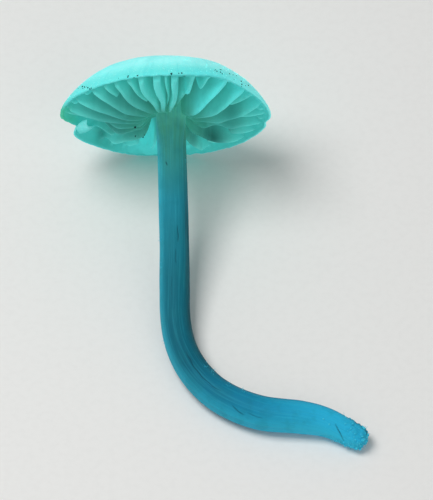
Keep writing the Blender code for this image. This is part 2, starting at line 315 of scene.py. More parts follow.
class Wire:
    """A shader socket that does sums: an expression on wires adds its own Math nodes."""

    def __init__(self, tree, socket=None):
        self.tree = tree
        self.socket = socket

    def node(self, kind, settings=None, inputs=None, output=0):
        """Add a node: first its settings, then the values or wires of its sockets."""
        made = self.tree.nodes.new(kind)
        for name, value in (settings or {}).items():
            setattr(made, name, value)
        for name, value in (inputs or {}).items():
            if isinstance(value, Wire):
                self.tree.links.new(value.socket, made.inputs[name])
            else:
                made.inputs[name].default_value = value
        return Wire(self.tree, made.outputs[output])

    def sum_node(self, operation, first, second):
        return self.node("ShaderNodeMath", {"operation": operation}, {0: first, 1: second})

    def __add__(self, other):
        return self.sum_node("ADD", self, other)

    def __radd__(self, other):
        return self.sum_node("ADD", other, self)

    def __sub__(self, other):
        return self.sum_node("SUBTRACT", self, other)

    def __rsub__(self, other):
        return self.sum_node("SUBTRACT", other, self)

    def __mul__(self, other):
        return self.sum_node("MULTIPLY", self, other)

    def __rmul__(self, other):
        return self.sum_node("MULTIPLY", other, self)

    def between(self, low, high):
        """0 below low, 1 above high, and a smooth step from one to the other. Bounds swapped, it falls."""
        return self.node(
            "ShaderNodeMapRange",
            {"interpolation_type": "SMOOTHSTEP"},
            {"Value": self, "From Min": low, "From Max": high},
        )

    def blend(self, first, second):
        """A mix of two colours, with this wire as the share of the second."""
        return self.node("ShaderNodeMix", {"data_type": "RGBA"}, {0: self, 6: first, 7: second}, 2)

    def under(self, layers):
        """This colour with others laid over it: pairs of how strongly one shows, and the colour."""
        color = self
        for strength, over in layers:
            color = strength.blend(color, over)
        return color

    def stretched(self, scale):
        return self.node("ShaderNodeVectorMath", {"operation": "MULTIPLY"}, {0: self, 1: scale})

    def cloud(self, scale, detail=3.0, roughness=0.55):
        """Noise on this wire's vector."""
        return self.node(
            "ShaderNodeTexNoise",
            None,
            {"Vector": self, "Scale": scale, "Detail": detail, "Roughness": roughness},
        )

    def cells(self, scale):
        return self.node("ShaderNodeTexVoronoi", None, {"Vector": self, "Scale": scale})

    def shades(self, stops):
        """A ramp of colours along this wire: pairs of place and colour."""
        made = self.node("ShaderNodeValToRGB", None, {"Fac": self})
        ramp = made.socket.node.color_ramp
        while len(ramp.elements) < len(stops):
            ramp.elements.new(1.0)
        for element, (place, color) in zip(ramp.elements, stops):
            element.position = place
            element.color = color
        return made

    def part(self, index):
        return self.node("ShaderNodeSeparateXYZ", None, {0: self}, index)

    def pattern(self, name):
        """A pattern that the mesh's vertices carry."""
        return self.node("ShaderNodeAttribute", {"attribute_name": name}, output=1)


def tint(red, green, blue):
    """A colour given as the eye sees it, 0 to 255, for a shader."""
    def linear(value):
        value /= 255.0
        return value / 12.92 if value <= 0.04045 else ((value + 0.055) / 1.055) ** 2.4

    return (linear(red), linear(green), linear(blue), 1.0)


def start_material(name):
    """A new material, a wire to add nodes with, and the place on the piece."""
    material = bpy.data.materials.new(name)
    material.use_nodes = True
    wire = Wire(material.node_tree)
    return material, wire, wire.node("ShaderNodeTexCoord", output=3)


def finish_material(material, color, glow, roughness, relief, relief_height):
    """Wire the varying finish into the shader, and set what is the same all over on its own sockets."""
    tree = material.node_tree
    shader = tree.nodes["Principled BSDF"]
    normal = Wire(tree).node(
        "ShaderNodeBump", None, {"Strength": 1.0, "Distance": relief_height * MM, "Height": relief}
    )
    links = {"Base Color": color, "Emission Color": color, "Roughness": roughness, "Normal": normal}
    for name, value in links.items():
        tree.links.new(value.socket, shader.inputs[name])
    constants = {
        "Emission Strength": glow,
        "Specular IOR Level": FLESH_GLOSS,
        "Subsurface Weight": FLESH_SEEN_INTO,
        "Subsurface Radius": FLESH_SCATTER,
        "Subsurface Scale": MM,
    }
    for name, value in constants.items():
        shader.inputs[name].default_value = value
    return material


def cap_skin():
    """Bright cyan skin, palest on the crown, mottled and finely granular, with faint radial streaks."""
    material, wire, place = start_material("cap_skin")
    lie, tone = wire.pattern("lie"), wire.pattern("tone")
    share, green_tip, beneath = tone.part(0), tone.part(1), tone.part(2)
    front_painted_highlight, right_side_painted_light = lie.part(0).between(0.55, 1.0), lie.part(1).between(-0.35, -0.9)
    fine = place.cloud(4200.0, 4.0)
    mottle = place.cloud(620.0, 4.0)
    broad = place.cloud(190.0, 3.0)
    streak = lie.stretched((20.0, 20.0, 2.0)).cloud(1.0, 4.0)
    flecks = 1.0 - place.cells(2300.0).between(0.08, 0.26)
    crown = share.between(0.1, 0.8).blend(tint(160, 242, 240), tint(134, 244, 242))
    color = crown.under([
        (share.between(0.8, 1.0), tint(96, 212, 208)),
        (broad.between(0.42, 0.64) * 0.4, tint(84, 212, 212)),
        (mottle.between(0.42, 0.66) * 0.4, tint(92, 218, 218)),
        (streak.between(0.48, 0.7) * share.between(0.15, 0.9) * 0.5, tint(80, 204, 204)),
        (share.between(0.22, 0.02) * 0.35, tint(96, 206, 196)),
        (fine.between(0.55, 0.75) * 0.3, tint(176, 246, 240)),
        (flecks * share.between(0.6, 0.95) * 0.35, tint(196, 250, 246)),
        # painted light: the cap's right side made paler, where the key lamp from the left leaves it darker
        (right_side_painted_light * share.between(0.55, 0.9) * 0.55, tint(138, 248, 246)),
        # painted highlight: paler near the margin on the viewer's side, which faces up to the lamps as it
        # lies
        (front_painted_highlight * share.between(0.99, 0.85) * 0.28, tint(184, 244, 242)),
        (beneath * 0.8, tint(66, 184, 180)),
        (green_tip.between(0.0, 0.9), tint(72, 188, 156)),
    ])
    roughness = 0.62 + 0.12 * mottle
    relief = 0.5 * fine + 0.35 * streak + 0.3 * mottle + 0.2 * flecks
    return finish_material(material, color, CAP_GLOW, roughness, relief, CAP_RELIEF)


def gill_flesh():
    """Teal gill flesh: paler free edges, darker grooves, and a smooth bright zone towards the margin."""
    material, wire, place = start_material("gill_flesh")
    lie, tone = wire.pattern("lie"), wire.pattern("tone")
    edge, out, shade = tone.part(0), tone.part(1), tone.part(2)
    left_tip = lie.part(1).between(8.6, 8.95) * lie.part(2).between(0.86, 0.96)
    mottle = place.cloud(500.0, 3.0)
    streak = lie.stretched((1.0, 1.0, 6.0)).cloud(1.0, 3.0)
    # the flesh's own teal, with painted shade: grooves darker than the free edges, and darker towards the
    # stem
    groove = out.between(0.1, 0.95).blend(tint(44, 124, 112), tint(62, 172, 164))
    ridge = out.between(0.1, 0.95).blend(tint(62, 148, 134), tint(84, 194, 187))
    color = edge.between(0.1, 1.0).blend(groove, ridge).under([
        # painted highlight along the gills' free edges
        (edge.between(0.8, 1.0) * out.between(0.2, 0.6) * 0.5, tint(94, 206, 197)),
        # painted light where the gills' shade pattern is above 0, and painted shade where it is below
        (shade, tint(86, 208, 206)),
        (shade * -1.0, tint(26, 92, 84)),
        (out.between(0.46, 0.06) * 0.9, tint(62, 156, 137)),
        (left_tip * 0.5, tint(66, 186, 148)),
        (mottle.between(0.45, 0.7) * 0.2, tint(52, 150, 142)),
        (streak.between(0.5, 0.75) * 0.2, tint(104, 210, 202)),
    ])
    roughness = 0.6 + 0.15 * mottle
    relief = 0.6 * streak + 0.4 * place.cloud(2500.0, 3.0)
    return finish_material(material, color, GILL_GLOW, roughness, relief, GILL_RELIEF)


def stem_skin():
    """Silky lengthwise fibres: green-teal under the gills, deep blue-cyan below, brighter at the foot."""
    material, wire, place = start_material("stem_skin")
    lie, tone = wire.pattern("lie"), wire.pattern("tone")
    along, crack_shade, painted_light_side = tone.part(0), tone.part(1), tone.part(2)
    fibre = lie.stretched((9.0, 9.0, 0.9)).cloud(1.0, 5.0, 0.6)
    hair = lie.stretched((40.0, 40.0, 1.6)).cloud(1.0, 3.0)
    mottle = place.cloud(420.0, 3.0)
    down_the_stem = along.shades([
        (0.06, tint(92, 196, 172)), (0.095, tint(56, 138, 118)), (0.14, tint(43, 124, 116)),
        (0.24, tint(25, 120, 137)), (0.4, tint(14, 98, 114)), (0.6, tint(5, 83, 102)),
        (0.76, tint(14, 118, 150)), (0.9, tint(34, 160, 196)),
    ])
    color = down_the_stem.under([
        # painted highlight on the stem's left side, towards the key lamp
        (painted_light_side.between(0.1, 1.0) * 0.5, tint(50, 172, 196)),
        # painted shade on the right side of the stem's upper part, away from the key lamp
        (painted_light_side.between(-0.05, -0.8) * along.between(0.1, 0.32) * 0.8, tint(6, 62, 70)),
        (fibre.between(0.45, 0.75) * 0.22, tint(58, 174, 192)),
        (hair.between(0.5, 0.75) * 0.22, tint(10, 80, 96)),
        (mottle.between(0.45, 0.65) * 0.2, tint(20, 104, 114)),
        # painted shade in the cracks
        (crack_shade * 0.8, tint(4, 44, 56)),
    ])
    roughness = 0.55 + 0.15 * fibre
    return finish_material(material, color, STEM_GLOW, roughness, 0.7 * fibre + 0.5 * hair, STEM_RELIEF)


def speckled_finish(name, scale, dark, bright, glow):
    """A finish mottled between two colours, for the small things."""
    material, wire, place = start_material(name)
    speck = place.cloud(scale, 3.0)
    color = speck.between(0.35, 0.7).blend(dark, bright)
    return finish_material(material, color, glow, 0.6 + 0.2 * speck, speck, SPECK_RELIEF)


def crumb_finish():
    """Dark damp litter."""
    return speckled_finish("litter", 5000.0, tint(10, 46, 48), tint(30, 96, 92), 0.05)


def bloom_finish():
    """Pale powdery grains."""
    return speckled_finish("bloom", 4000.0, tint(120, 238, 234), tint(170, 248, 244), 0.4)


def fray_finish():
    """Bright torn fibre and wool."""
    return speckled_finish("torn_fibre", 2500.0, tint(34, 150, 184), tint(70, 190, 206), 0.3)


# Relief of the cap's skin. Each layer of lumps has its height, its lumps' size and a seed
CAP_UNDULATION = (0.08, 5.0, 1.0)
CAP_LUMPS = (0.04, 1.5, 2.0)
CAP_GRAINS = (0.022, 0.5, 3.0)
WRINKLE_HEIGHT = 0.03             # fine radial wrinkles towards the margin
WRINKLE_PACE = 0.45
WRINKLE_SHARES = (0.6, 0.95)
FURROW_HEIGHT = 0.07              # and broad radial furrows all over
FURROW_RING = 5.0
FURROW_SHARES = (0.12, 0.5)
CROWN_DIMPLE = 0.16
CROWN_DIMPLE_WIDTH = 0.14
SHOULDERS = [(40.0, 24.0), (-48.0, 22.0)]    # azimuths and half-widths where the dome bulges a little
SHOULDER_SWELL = 0.15
SHOULDER_SHARE = 0.64
SHOULDER_WIDTH = 0.16

# The margin: how far it is crimped in and out, and how far its lip hangs down, ragged as it is
BROAD_CRIMP = 0.07
FINE_CRIMP = 0.05
TIP_CRIMP = 0.14                  # the fine crimp is this much stronger at the left tip
TIP_CRIMP_AT = (92.0, 14.0)
CRIMP_FADE = 12                   # exponent: how fast the crimp fades away from the margin
LIP_HANG = 0.16
LIP_RAGGED = 0.14
GREEN_TIP_AT = (88.0, 13.0)
GREEN_TIP_SHARES = (0.86, 0.98)
LIP_RINGS_OF_SKIN = (1.0, 5.0)    # the bright skin ends between these rings of the lip


def cap_relief(point, share, azimuth):
    """Height of the skin's unevenness: broad swells, finer lumps, radial wrinkles and furrows."""
    height, size, seed = CAP_UNDULATION
    shoulders = sum(bump(azimuth, centre, width) for centre, width in SHOULDERS)
    relief = SHOULDER_SWELL * shoulders * hill(share, SHOULDER_SHARE, SHOULDER_WIDTH)
    relief += height * grain(point, size, seed) * (1.0 - share**SWELL_FADE)
    for height, size, seed in (CAP_LUMPS, CAP_GRAINS):
        relief += height * grain(point, size, seed)
    wrinkle = rim_noise(azimuth, WRINKLE_PACE, share * 4.0, 3.0)
    relief += WRINKLE_HEIGHT * wrinkle * smoothstep(*WRINKLE_SHARES, share)
    furrow = grain(ring_point(azimuth, FURROW_RING, share), 1.0, 6.0)
    dimple = CROWN_DIMPLE * hill(share, 0.0, CROWN_DIMPLE_WIDTH)
    return relief + (FURROW_HEIGHT * furrow * smoothstep(*FURROW_SHARES, share) - dimple)


def margin_crimp(azimuth):
    fine = FINE_CRIMP + TIP_CRIMP * bump(azimuth, *TIP_CRIMP_AT)
    return BROAD_CRIMP * rim_noise(azimuth, 0.5, 0.0, 9.0) + fine * rim_noise(azimuth, 1.1, 5.0, 9.0)


def skin_point(share, azimuth):
    """A point of the cap's upper skin."""
    radius = radius_at(share, azimuth) + margin_crimp(azimuth) * share**CRIMP_FADE
    point = polar(radius, azimuth, dome_height(share, azimuth))
    point.z += cap_relief(point, share, azimuth)
    return point


def lip_point(turn, azimuth):
    """Share and point on the margin's rounded lip, turned so far from the skin to the underside."""
    middle = (1.0 + MARGIN_INNER) / 2.0
    share = middle + (1.0 - middle) * math.cos(turn)
    outer = margin_rise(azimuth)
    inner = underside_height(MARGIN_INNER, azimuth)
    hang = LIP_HANG + LIP_RAGGED * rim_noise(azimuth, 0.28, 7.0, 2.0)
    height = outer + (inner - outer) * (1.0 - math.cos(turn)) / 2.0 - hang * math.sin(turn)
    point = polar(radius_at(share, azimuth) + margin_crimp(azimuth), azimuth, height)
    point.z += cap_relief(point, 1.0, azimuth) * (1.0 + math.cos(turn)) / 2.0
    return share, point


def cap_piece():
    """The cap: a domed flesh with a thin rounded margin, slightly crimped and nicked."""
    top = [1.0 - (1.0 - ring / CAP_TOP_RINGS) ** RING_CROWDING for ring in range(CAP_TOP_RINGS + 1)]
    under = [
        MARGIN_INNER * (1.0 - (ring / CAP_UNDER_RINGS) ** RING_CROWDING)
        for ring in range(1, CAP_UNDER_RINGS + 1)
    ]
    lip_start = len(top)
    under_start = lip_start + CAP_LIP_RINGS

    def place(column, ring):
        azimuth = 360.0 * column / CAP_COLUMNS
        if ring < lip_start:
            share = top[ring]
            point = skin_point(share, azimuth)
        elif ring < under_start:
            share, point = lip_point(math.pi * (ring - lip_start + 1) / CAP_LIP_RINGS, azimuth)
        else:
            share = under[ring - under_start]
            point = polar(radius_at(share, azimuth), azimuth, underside_height(share, azimuth))
        green_tip = bump(azimuth, *GREEN_TIP_AT) * smoothstep(*GREEN_TIP_SHARES, share)
        beneath = smoothstep(*LIP_RINGS_OF_SKIN, ring - lip_start)
        return point, ring_point(azimuth, 1.0, share), Vector((share, green_tip, beneath))

    bm = formula_surface(CAP_COLUMNS, under_start + len(under) - 1, place, close_rings=False)
    lay_down(bm)
    return add_piece("cap_flesh", bm, cap_skin(), node="cap")


# Small gills grow at the margin in gaps wider than this: where in the gap, and how far out they begin
WIDE_GAP = 13.5
MARGIN_GILL_AT = (0.42, 0.58)
MARGIN_GILL_BEGINS = (0.78, 0.86)
MARGIN_GILLS_AFTER = 0.7          # a gill that begins further out than this is one of them
MARGIN_GILL_DEPTH = 0.6

# One gill's section, from the groove before it: how far down the blade, and half its thickness there
BLADE_SECTION = [
    (0.0, None), (0.0, 0.80), (0.05, 0.52), (0.2, 0.38), (0.45, 0.31), (0.7, 0.27), (0.88, 0.22),
    (0.965, 0.15), (1.0, 0.0),
]
BLADE_ROOM = 0.9                  # a blade fills no more than this of its room,
BLADE_TAPER = 0.2                 # and less by this share at its free edge
GROOVE_FROM = 0.6                 # what is further than this from the blade's middle is the groove's floor
GILL_OUTER = 0.965
GILLS_INTO_STEM = 0.35            # how far the fine gills reach past the hole's edge into the stem
GILLS_INTO_CAP = 0.16             # and how far their common layer is sunk into the cap's flesh
ROOTS_UNDER_CAP = 0.25            # the blades' roots start this far under the cap's flesh,
GROOVE_ARCH = 0.12                # and the grooves' floors this much higher
SHORT_GILL_RAMP = 0.16            # the share of the way over which a short gill comes down
GILLS_FADE_OUT = (0.94, 1.0)      # and the shares of the way over which all gills go back up
EDGE_UNEVENNESS = (0.06, 2.4, 5.0)
FAR_EDGE_RISE = 0.9
FAR_EDGE_SHARES = (0.78, 0.98)
GILL_LIE_RADIUS = 9.0

# How gills stand: their slant at the free edge, positive to the left, and their sway from side to side
SLANTS = (-0.15, 0.15)
SWAY = 0.15
SWAY_LENGTHS = (5.0, 8.0)
SWAY_TURN = 6.28
SWAY_ROOM = 1.3                   # with less room than this the sway is less
SWAY_STARTS = (0.0, 0.25)
SWAY_ENDS = (0.85, 1.0)

# Low veins across each groove: how many, how far out, half-length and height
VEINS = 2
VEINS_AT = (0.25, 0.95)
VEIN_LENGTH = 0.03
VEIN_HEIGHTS = (0.1, 0.35)
VEIN_BESIDE_BLADE = 0.8           # a vein's height beside the blade, in the groove's middle being 1

# What sets single gills apart, by their azimuth
LONG_THIN_GILL = {2.2: 0.03}      # begins further in than in the solid
GILL_LEANS = {                    # instead of a slant drawn at random
    325.0: 0.3, 310.0: -0.1, 288.0: 0.25, 256.0: 0.2, 16.4: 0.2, 97.0: -0.2,
    7.0: 0.35, 2.2: 0.15, -3.0: 0.15,
}
# each gill's own painted light (above 0) and painted shade (below 0)
GILL_SHADES = {                   # bright above 0, dark below
    -3.0: 0.25, 7.0: 0.3, 16.4: 0.15, 346.0: 0.1, 335.0: 0.2, 325.0: 1.0, 310.0: 0.35, 24.0: -0.1,
    32.0: -0.25, 39.5: -0.3, 48.0: -0.25, 63.0: -0.3, 77.0: -0.3,
}
LOW_GILLS = {                     # share of the others' depth
    136.0: 0.8, 168.0: 0.6, 299.0: 0.35, 272.0: 0.45, 335.0: 0.08, 86.0: 0.6, 256.0: 0.5, 346.0: 0.12,
}
THICK_GILLS = {                   # times the others' thickness
    -3.0: 2.0, 2.2: 0.7, 7.0: 2.2, 16.4: 1.6, 346.0: 1.5, 325.0: 1.2, 24.0: 1.2, 32.0: 1.2, 48.0: 1.2,
}
GILLS_END_FROM_TO = {             # shares between which it runs out
    97.0: (0.44, 0.84), 110.0: (0.46, 0.86), 123.0: (0.6, 0.95), 136.0: (0.74, 0.98),
}
GILLS_START_FROM = 0.1            # these come down between this share and their own
GILLS_START_AT = {123.0: 0.3, 136.0: 0.36, 152.0: 0.65, 168.0: 0.75}
GILL_SAGS = {                     # where it hangs lower: how far out, half-length, and by how much
    346.0: [(0.72, 0.09, 3.6)], 256.0: [(0.34, 0.07, 0.65), (0.62, 0.08, 0.5)],
    288.0: [(0.5, 0.07, 0.12)], 325.0: [(0.45, 0.1, 0.1)],
}

# Flesh that fills a groove across: the gill before it, how far out, half-length and height of the fill
CROSS_FILLS = [
    (346.0, 0.90, 0.12, 0.5), (335.0, 0.90, 0.11, 0.5), (346.0, 0.62, 0.06, 0.5), (-3.0, 0.93, 0.04, 0.4),
    (7.0, 0.95, 0.04, 0.5), (16.4, 0.94, 0.03, 0.4), (325.0, 0.95, 0.05, 0.4), (310.0, 0.8, 0.03, 0.3),
    (48.0, 0.8, 0.03, 0.3), (63.0, 0.6, 0.03, 0.3), (77.0, 0.9, 0.04, 0.3),
    (299.0, 0.32, 0.17, 1.1), (288.0, 0.36, 0.2, 1.1), (272.0, 0.42, 0.2, 0.9),
]

# Light among the gills: bright at the back and towards the margin on both sides
BACK_LIGHT = 0.6
BACK_LIGHT_WIDTH = 62.0
BACK_LIGHT_SHARES = (0.5, 0.8)
SIDE_LIGHTS = [(-55.0, 42.0, 1.0), (52.0, 30.0, 0.7)]    # azimuth, half-width, strength
SIDE_LIGHT_IN_GROOVE = 0.95
SIDE_LIGHT_LOSS = 0.45            # how much weaker it is on the free edges
SIDE_LIGHT_SHARES = (0.72, 0.94)
OWN_SHADE_IN_GROOVE = 0.2         # a bright gill's shade shows this much in the groove, in full lower down
OWN_SHADE_DEPTHS = (0.4, 0.95)
OWN_SHADE_STARTS = (0.2, 0.5)
OWN_SHADE_ENDS = (0.62, 0.86)     # at the back
OWN_SHADE_ENDS_WIDTH = 80.0
NARROW_GROOVES = (-3.0, 2.2, 7.0)
NARROW_GROOVE_SHADE = 0.8

# Painted shade and painted light among the gills: middle, half-widths, and how dark (below 0) or bright
GILL_PAINTED_PATCHES = [
    ((6.4, 5.5, -1.5), (3.7, 2.9, 2.3), -0.95), ((7.4, 1.9, -1.0), (3.0, 1.5, 3.0), -0.2),
    ((2.4, -3.9, 0.6), (1.0, 1.2, 1.4), 0.45), ((-9.2, 11.6, 1.0), (3.6, 2.4, 3.0), -0.5),
    ((10.4, 1.8, -0.6), (1.6, 2.2, 3.0), -0.25), ((-8.6, 3.0, -1.0), (4.6, 3.2, 3.0), -0.55),
    ((9.3, -3.0, -1.0), (1.5, 1.7, 3.0), -0.45), ((2.9, -10.8, -1.0), (0.8, 0.9, 3.0), 0.8),
    ((-10.6, 9.6, 0.0), (0.8, 1.1, 3.0), -0.7), ((-12.8, 5.0, -1.0), (1.6, 2.6, 3.0), 0.2),
    ((-13.0, 0.6, -0.5), (2.2, 2.0, 2.0), -0.3), ((5.5, 11.5, 0.8), (2.6, 2.6, 3.0), -0.25),
    ((-3.6, 11.5, 1.2), (3.0, 4.5, 3.0), 0.8), ((3.5, -9.2, 1.0), (1.2, 2.4, 1.8), 0.7),
    ((2.6, -6.0, 0.5), (1.1, 2.0, 1.6), 0.5), ((8.9, -9.8, 1.4), (1.6, 1.6, 1.6), 0.4),
    ((-6.6, -10.5, 0.6), (1.0, 1.6, 1.6), 0.45), ((-13.6, -1.8, 0.0), (1.6, 1.6, 2.0), -0.35),
]


def all_gills():
    """The gills of the solid, and small ones at the margin in the wide gaps between them."""
    draw = random.Random(7)
    gills = []
    for index, (azimuth, begins) in enumerate(GILLS):
        gap = (GILLS[(index + 1) % len(GILLS)][0] - azimuth) % 360.0
        gills.append((azimuth, LONG_THIN_GILL.get(azimuth, begins)))
        if gap > WIDE_GAP:
            between = azimuth + gap * draw.uniform(*MARGIN_GILL_AT)
            gills.append((between, draw.uniform(*MARGIN_GILL_BEGINS)))
    return gills


def gill_weight(begins, share_out):
    """How much room a gill takes beside its neighbours."""
    if begins == 0.0:
        return 1.0
    grown = smoothstep(begins - ROOM_GROWS_BEFORE, begins + ROOM_GROWS_AFTER, share_out)
    return UNBEGUN_WEIGHT + (1.0 - UNBEGUN_WEIGHT) * grown


def gill_share(share_out, azimuth):
    """The share of the cap's radius at a share of the way from the stem to the gills' outer end."""
    inner = (STEM_HOLE_RADIUS - GILLS_INTO_STEM) / margin_radius(azimuth)
    return inner + (GILL_OUTER - inner) * share_out


def gill_reach(share_out, azimuth):
    return radius_at(gill_share(share_out, azimuth), azimuth)


class GillSet:
    """Where every gill stands and how it sways, and what crosses the groove after it."""

    def __init__(self):
        self.gills = all_gills()
        draw = random.Random(11)
        self.habits = [
            (draw.uniform(*SLANTS), draw.uniform(0.0, ABOUT_A_TURN), draw.uniform(*SWAY_LENGTHS))
            for gill in self.gills
        ]
        self.veins = [
            [(draw.uniform(*VEINS_AT), draw.uniform(*VEIN_HEIGHTS)) for vein in range(VEINS)]
            for gill in self.gills
        ]

    def sector_edge(self, index, share_out):
        """Azimuth of the groove after a gill."""
        here, begins = self.gills[index]
        after, after_begins = self.gills[(index + 1) % len(self.gills)]
        gap = (after - here) % 360.0
        weight = gill_weight(begins, share_out)
        return here + gap * weight / (weight + gill_weight(after_begins, share_out))

    def wave(self, index, share_out):
        """How far a gill waves to the side here, in degrees."""
        here = self.gills[index][0]
        turn = math.radians(here * WAVE_SPREAD) + WAVE_LENGTH * share_out
        bend = math.sin(turn) * math.sin(math.pi * share_out)
        return math.degrees(GILL_WAVE * bend / gill_reach(share_out, here))

    def azimuth(self, index, share_out, depth, half, side):
        """Azimuth of a station on a gill's section. One without a half-width is the groove before it."""
        here = self.gills[index][0]
        reach = gill_reach(share_out, here)
        before = here - (here - self.sector_edge(index - 1, share_out)) % 360.0
        if half is None:
            return before + self.wave(index, share_out)
        room = here - before if side < 0.0 else (self.sector_edge(index, share_out) - here) % 360.0
        away = min(math.degrees(half / reach), (1.0 - BLADE_TAPER * depth) * room * BLADE_ROOM)
        slant, phase, length = self.habits[index]
        sway = math.sin(phase + SWAY_TURN * reach / length) * SWAY + GILL_LEANS.get(here, slant)
        sway *= depth * depth * min(1.0, math.radians(room) * reach / SWAY_ROOM)
        sway *= smoothstep(*SWAY_STARTS, share_out)
        sway *= 1.0 - smoothstep(*SWAY_ENDS, share_out)
        return here + side * away + math.degrees(sway / reach) + self.wave(index, share_out)

    def groove_fill(self, index, share_out):
        """How high veins and flesh fill the groove after a gill."""
        fill = sum(height * hill(share_out, middle, VEIN_LENGTH) for middle, height in self.veins[index])
        for gill, middle, length, height in CROSS_FILLS:
            if gill == self.gills[index][0]:
                fill += height * hill(share_out, middle, length)
        return fill


def gill_begun(here, begins, share, share_out):
    """How far a gill has come down: 0 where it has not begun or has run out, 1 at its full depth."""
    begun = 1.0 if begins == 0.0 else smoothstep(begins, begins + SHORT_GILL_RAMP, share_out)
    begun *= 1.0 - smoothstep(*GILLS_FADE_OUT, share_out)
    if here in GILLS_END_FROM_TO:
        begun *= 1.0 - smoothstep(*GILLS_END_FROM_TO[here], share)
    if here in GILLS_START_AT:
        begun *= smoothstep(GILLS_START_FROM, GILLS_START_AT[here], share)
    return begun


def gill_drop(here, begins, share):
    """A gill's own depth, with its sags."""
    drop = GILL_DROP if begins == 0.0 else SHORT_GILL_DROP
    drop *= LOW_GILLS.get(here, MARGIN_GILL_DEPTH if begins > MARGIN_GILLS_AFTER else 1.0)
    sags = GILL_SAGS.get(here, [])
    return drop * (1.0 + sum(more * hill(share, middle, length) for middle, length, more in sags))


def free_edge(share, azimuth, drop):
    """Height of a gill's free edge: a blunt arch under the margin, drawn up beside the stem.

    On the viewer's side it runs down onto the stem instead, and at the back it is shallower.
    """
    along = min(max((share - GILL_START) / (GILL_END - GILL_START), 0.0), 1.0)
    arch = math.sin(math.pi * along) ** GILL_BELLY
    drawn_up = arch * smoothstep(*DRAWN_UP, share)
    run_down = arch + (RUN_DOWN_DEPTH - arch) * (1.0 - smoothstep(*RUN_DOWN, share))
    depth = drawn_up + (run_down - drawn_up) * bump(azimuth, 0.0, RUN_DOWN_WIDTH)
    back_rise = BACK_RISE * share**2 * bump(azimuth, BACK, BACK_RISE_WIDTH)
    right_rise = RIGHT_RISE * smoothstep(*RIGHT_RISE_SHARES, share)
    return -drop * depth + back_rise + right_rise * bump(azimuth, RIGHT_RISE_AT, RIGHT_RISE_WIDTH)


def gill_light(here, azimuth, share, share_out, depth):
    """How bright a place on a gill is, or how dark where it is negative."""
    own = GILL_SHADES.get(here, 0.0)
    if own > 0.0:
        seen = OWN_SHADE_IN_GROOVE + (1.0 - OWN_SHADE_IN_GROOVE) * smoothstep(*OWN_SHADE_DEPTHS, depth)
        own *= seen * smoothstep(*OWN_SHADE_STARTS, share_out)
    own *= 1.0 - smoothstep(*OWN_SHADE_ENDS, share) * bump(azimuth, BACK, OWN_SHADE_ENDS_WIDTH)
    back = BACK_LIGHT * bump(azimuth, BACK, BACK_LIGHT_WIDTH) * smoothstep(*BACK_LIGHT_SHARES, share)
    sides = sum(strength * bump(azimuth, centre, width) for centre, width, strength in SIDE_LIGHTS)
    sides *= (SIDE_LIGHT_IN_GROOVE - SIDE_LIGHT_LOSS * depth) * smoothstep(*SIDE_LIGHT_SHARES, share_out)
    narrow = depth == 0.0 and here in NARROW_GROOVES
    return back + own + sides - (NARROW_GROOVE_SHADE if narrow else 0.0)


def gill_painted_patches(point):
    """The painted light, or painted shade where negative, that the patches among the gills give a point.
    """
    light = 0.0
    for middle, widths, tone in GILL_PAINTED_PATCHES:
        away = [(point[axis] - middle[axis]) / widths[axis] for axis in range(3)]
        light += tone * math.exp(-sum(step * step for step in away))
    return light


def gills_piece():
    """All gills in one body: thin wavy blades with blunt edges, and low veins across their grooves."""
    gill_set = GillSet()
    section = [(depth, half, -1.0) for depth, half in BLADE_SECTION]
    section += [(depth, half, 1.0) for depth, half in reversed(BLADE_SECTION[1:-1])]
    top_rings = [1.0 - ring / GILL_TOP_RINGS for ring in range(GILL_TOP_RINGS + 1)]
    face_turns = [math.pi * ring / GILL_FACE_RINGS for ring in range(GILL_FACE_RINGS + 1)]
    outward = top_rings + [0.5 - 0.5 * math.cos(turn) for turn in face_turns]

    def place(column, ring):
        index, station = divmod(column, len(section))
        here, begins = gill_set.gills[index]
        depth, half, side = section[station]
        share_out = outward[ring]
        if half is not None:
            half *= THICK_GILLS.get(here, 1.0)
        azimuth = gill_set.azimuth(index, share_out, depth, half, side)
        share = gill_share(share_out, azimuth)
        radius = radius_at(share, azimuth)
        lie = ring_point(azimuth, GILL_LIE_RADIUS, share)
        light = gill_light(here, azimuth, share, share_out, depth)
        underside = underside_height(share, azimuth)
        if ring < len(top_rings):
            return polar(radius, azimuth, underside + GILLS_INTO_CAP), lie, Vector((0.0, share_out, light))
        root = underside - ROOTS_UNDER_CAP
        if half is None or half > GROOVE_FROM:
            groove = index - 1 if half is None or side < 0.0 else index
            fill = gill_set.groove_fill(groove, share_out) * (1.0 if half is None else VEIN_BESIDE_BLADE)
            point = polar(radius, azimuth, root + GROOVE_ARCH - fill)
            return point, lie, Vector((0.0, share_out, light + gill_painted_patches(point)))
        point = polar(radius, azimuth, root)
        begun = gill_begun(here, begins, share, share_out)
        height, size, seed = EDGE_UNEVENNESS
        drop = gill_drop(here, begins, share)
        edge = free_edge(share, azimuth, drop) + height * grain(point, size, seed)
        edge += FAR_EDGE_RISE * bump(azimuth, BACK, BACK_LIGHT_WIDTH) * smoothstep(*FAR_EDGE_SHARES, share)
        point.z = min(root + (edge - root) * begun * depth, root)
        return point, lie, Vector((depth * begun, share_out, light + gill_painted_patches(point)))

    bm = formula_surface(len(section) * len(gill_set.gills), len(outward), place, close_rings=True)
    lay_down(bm)
    return add_piece("gill_blades", bm, gill_flesh(), node="gills")


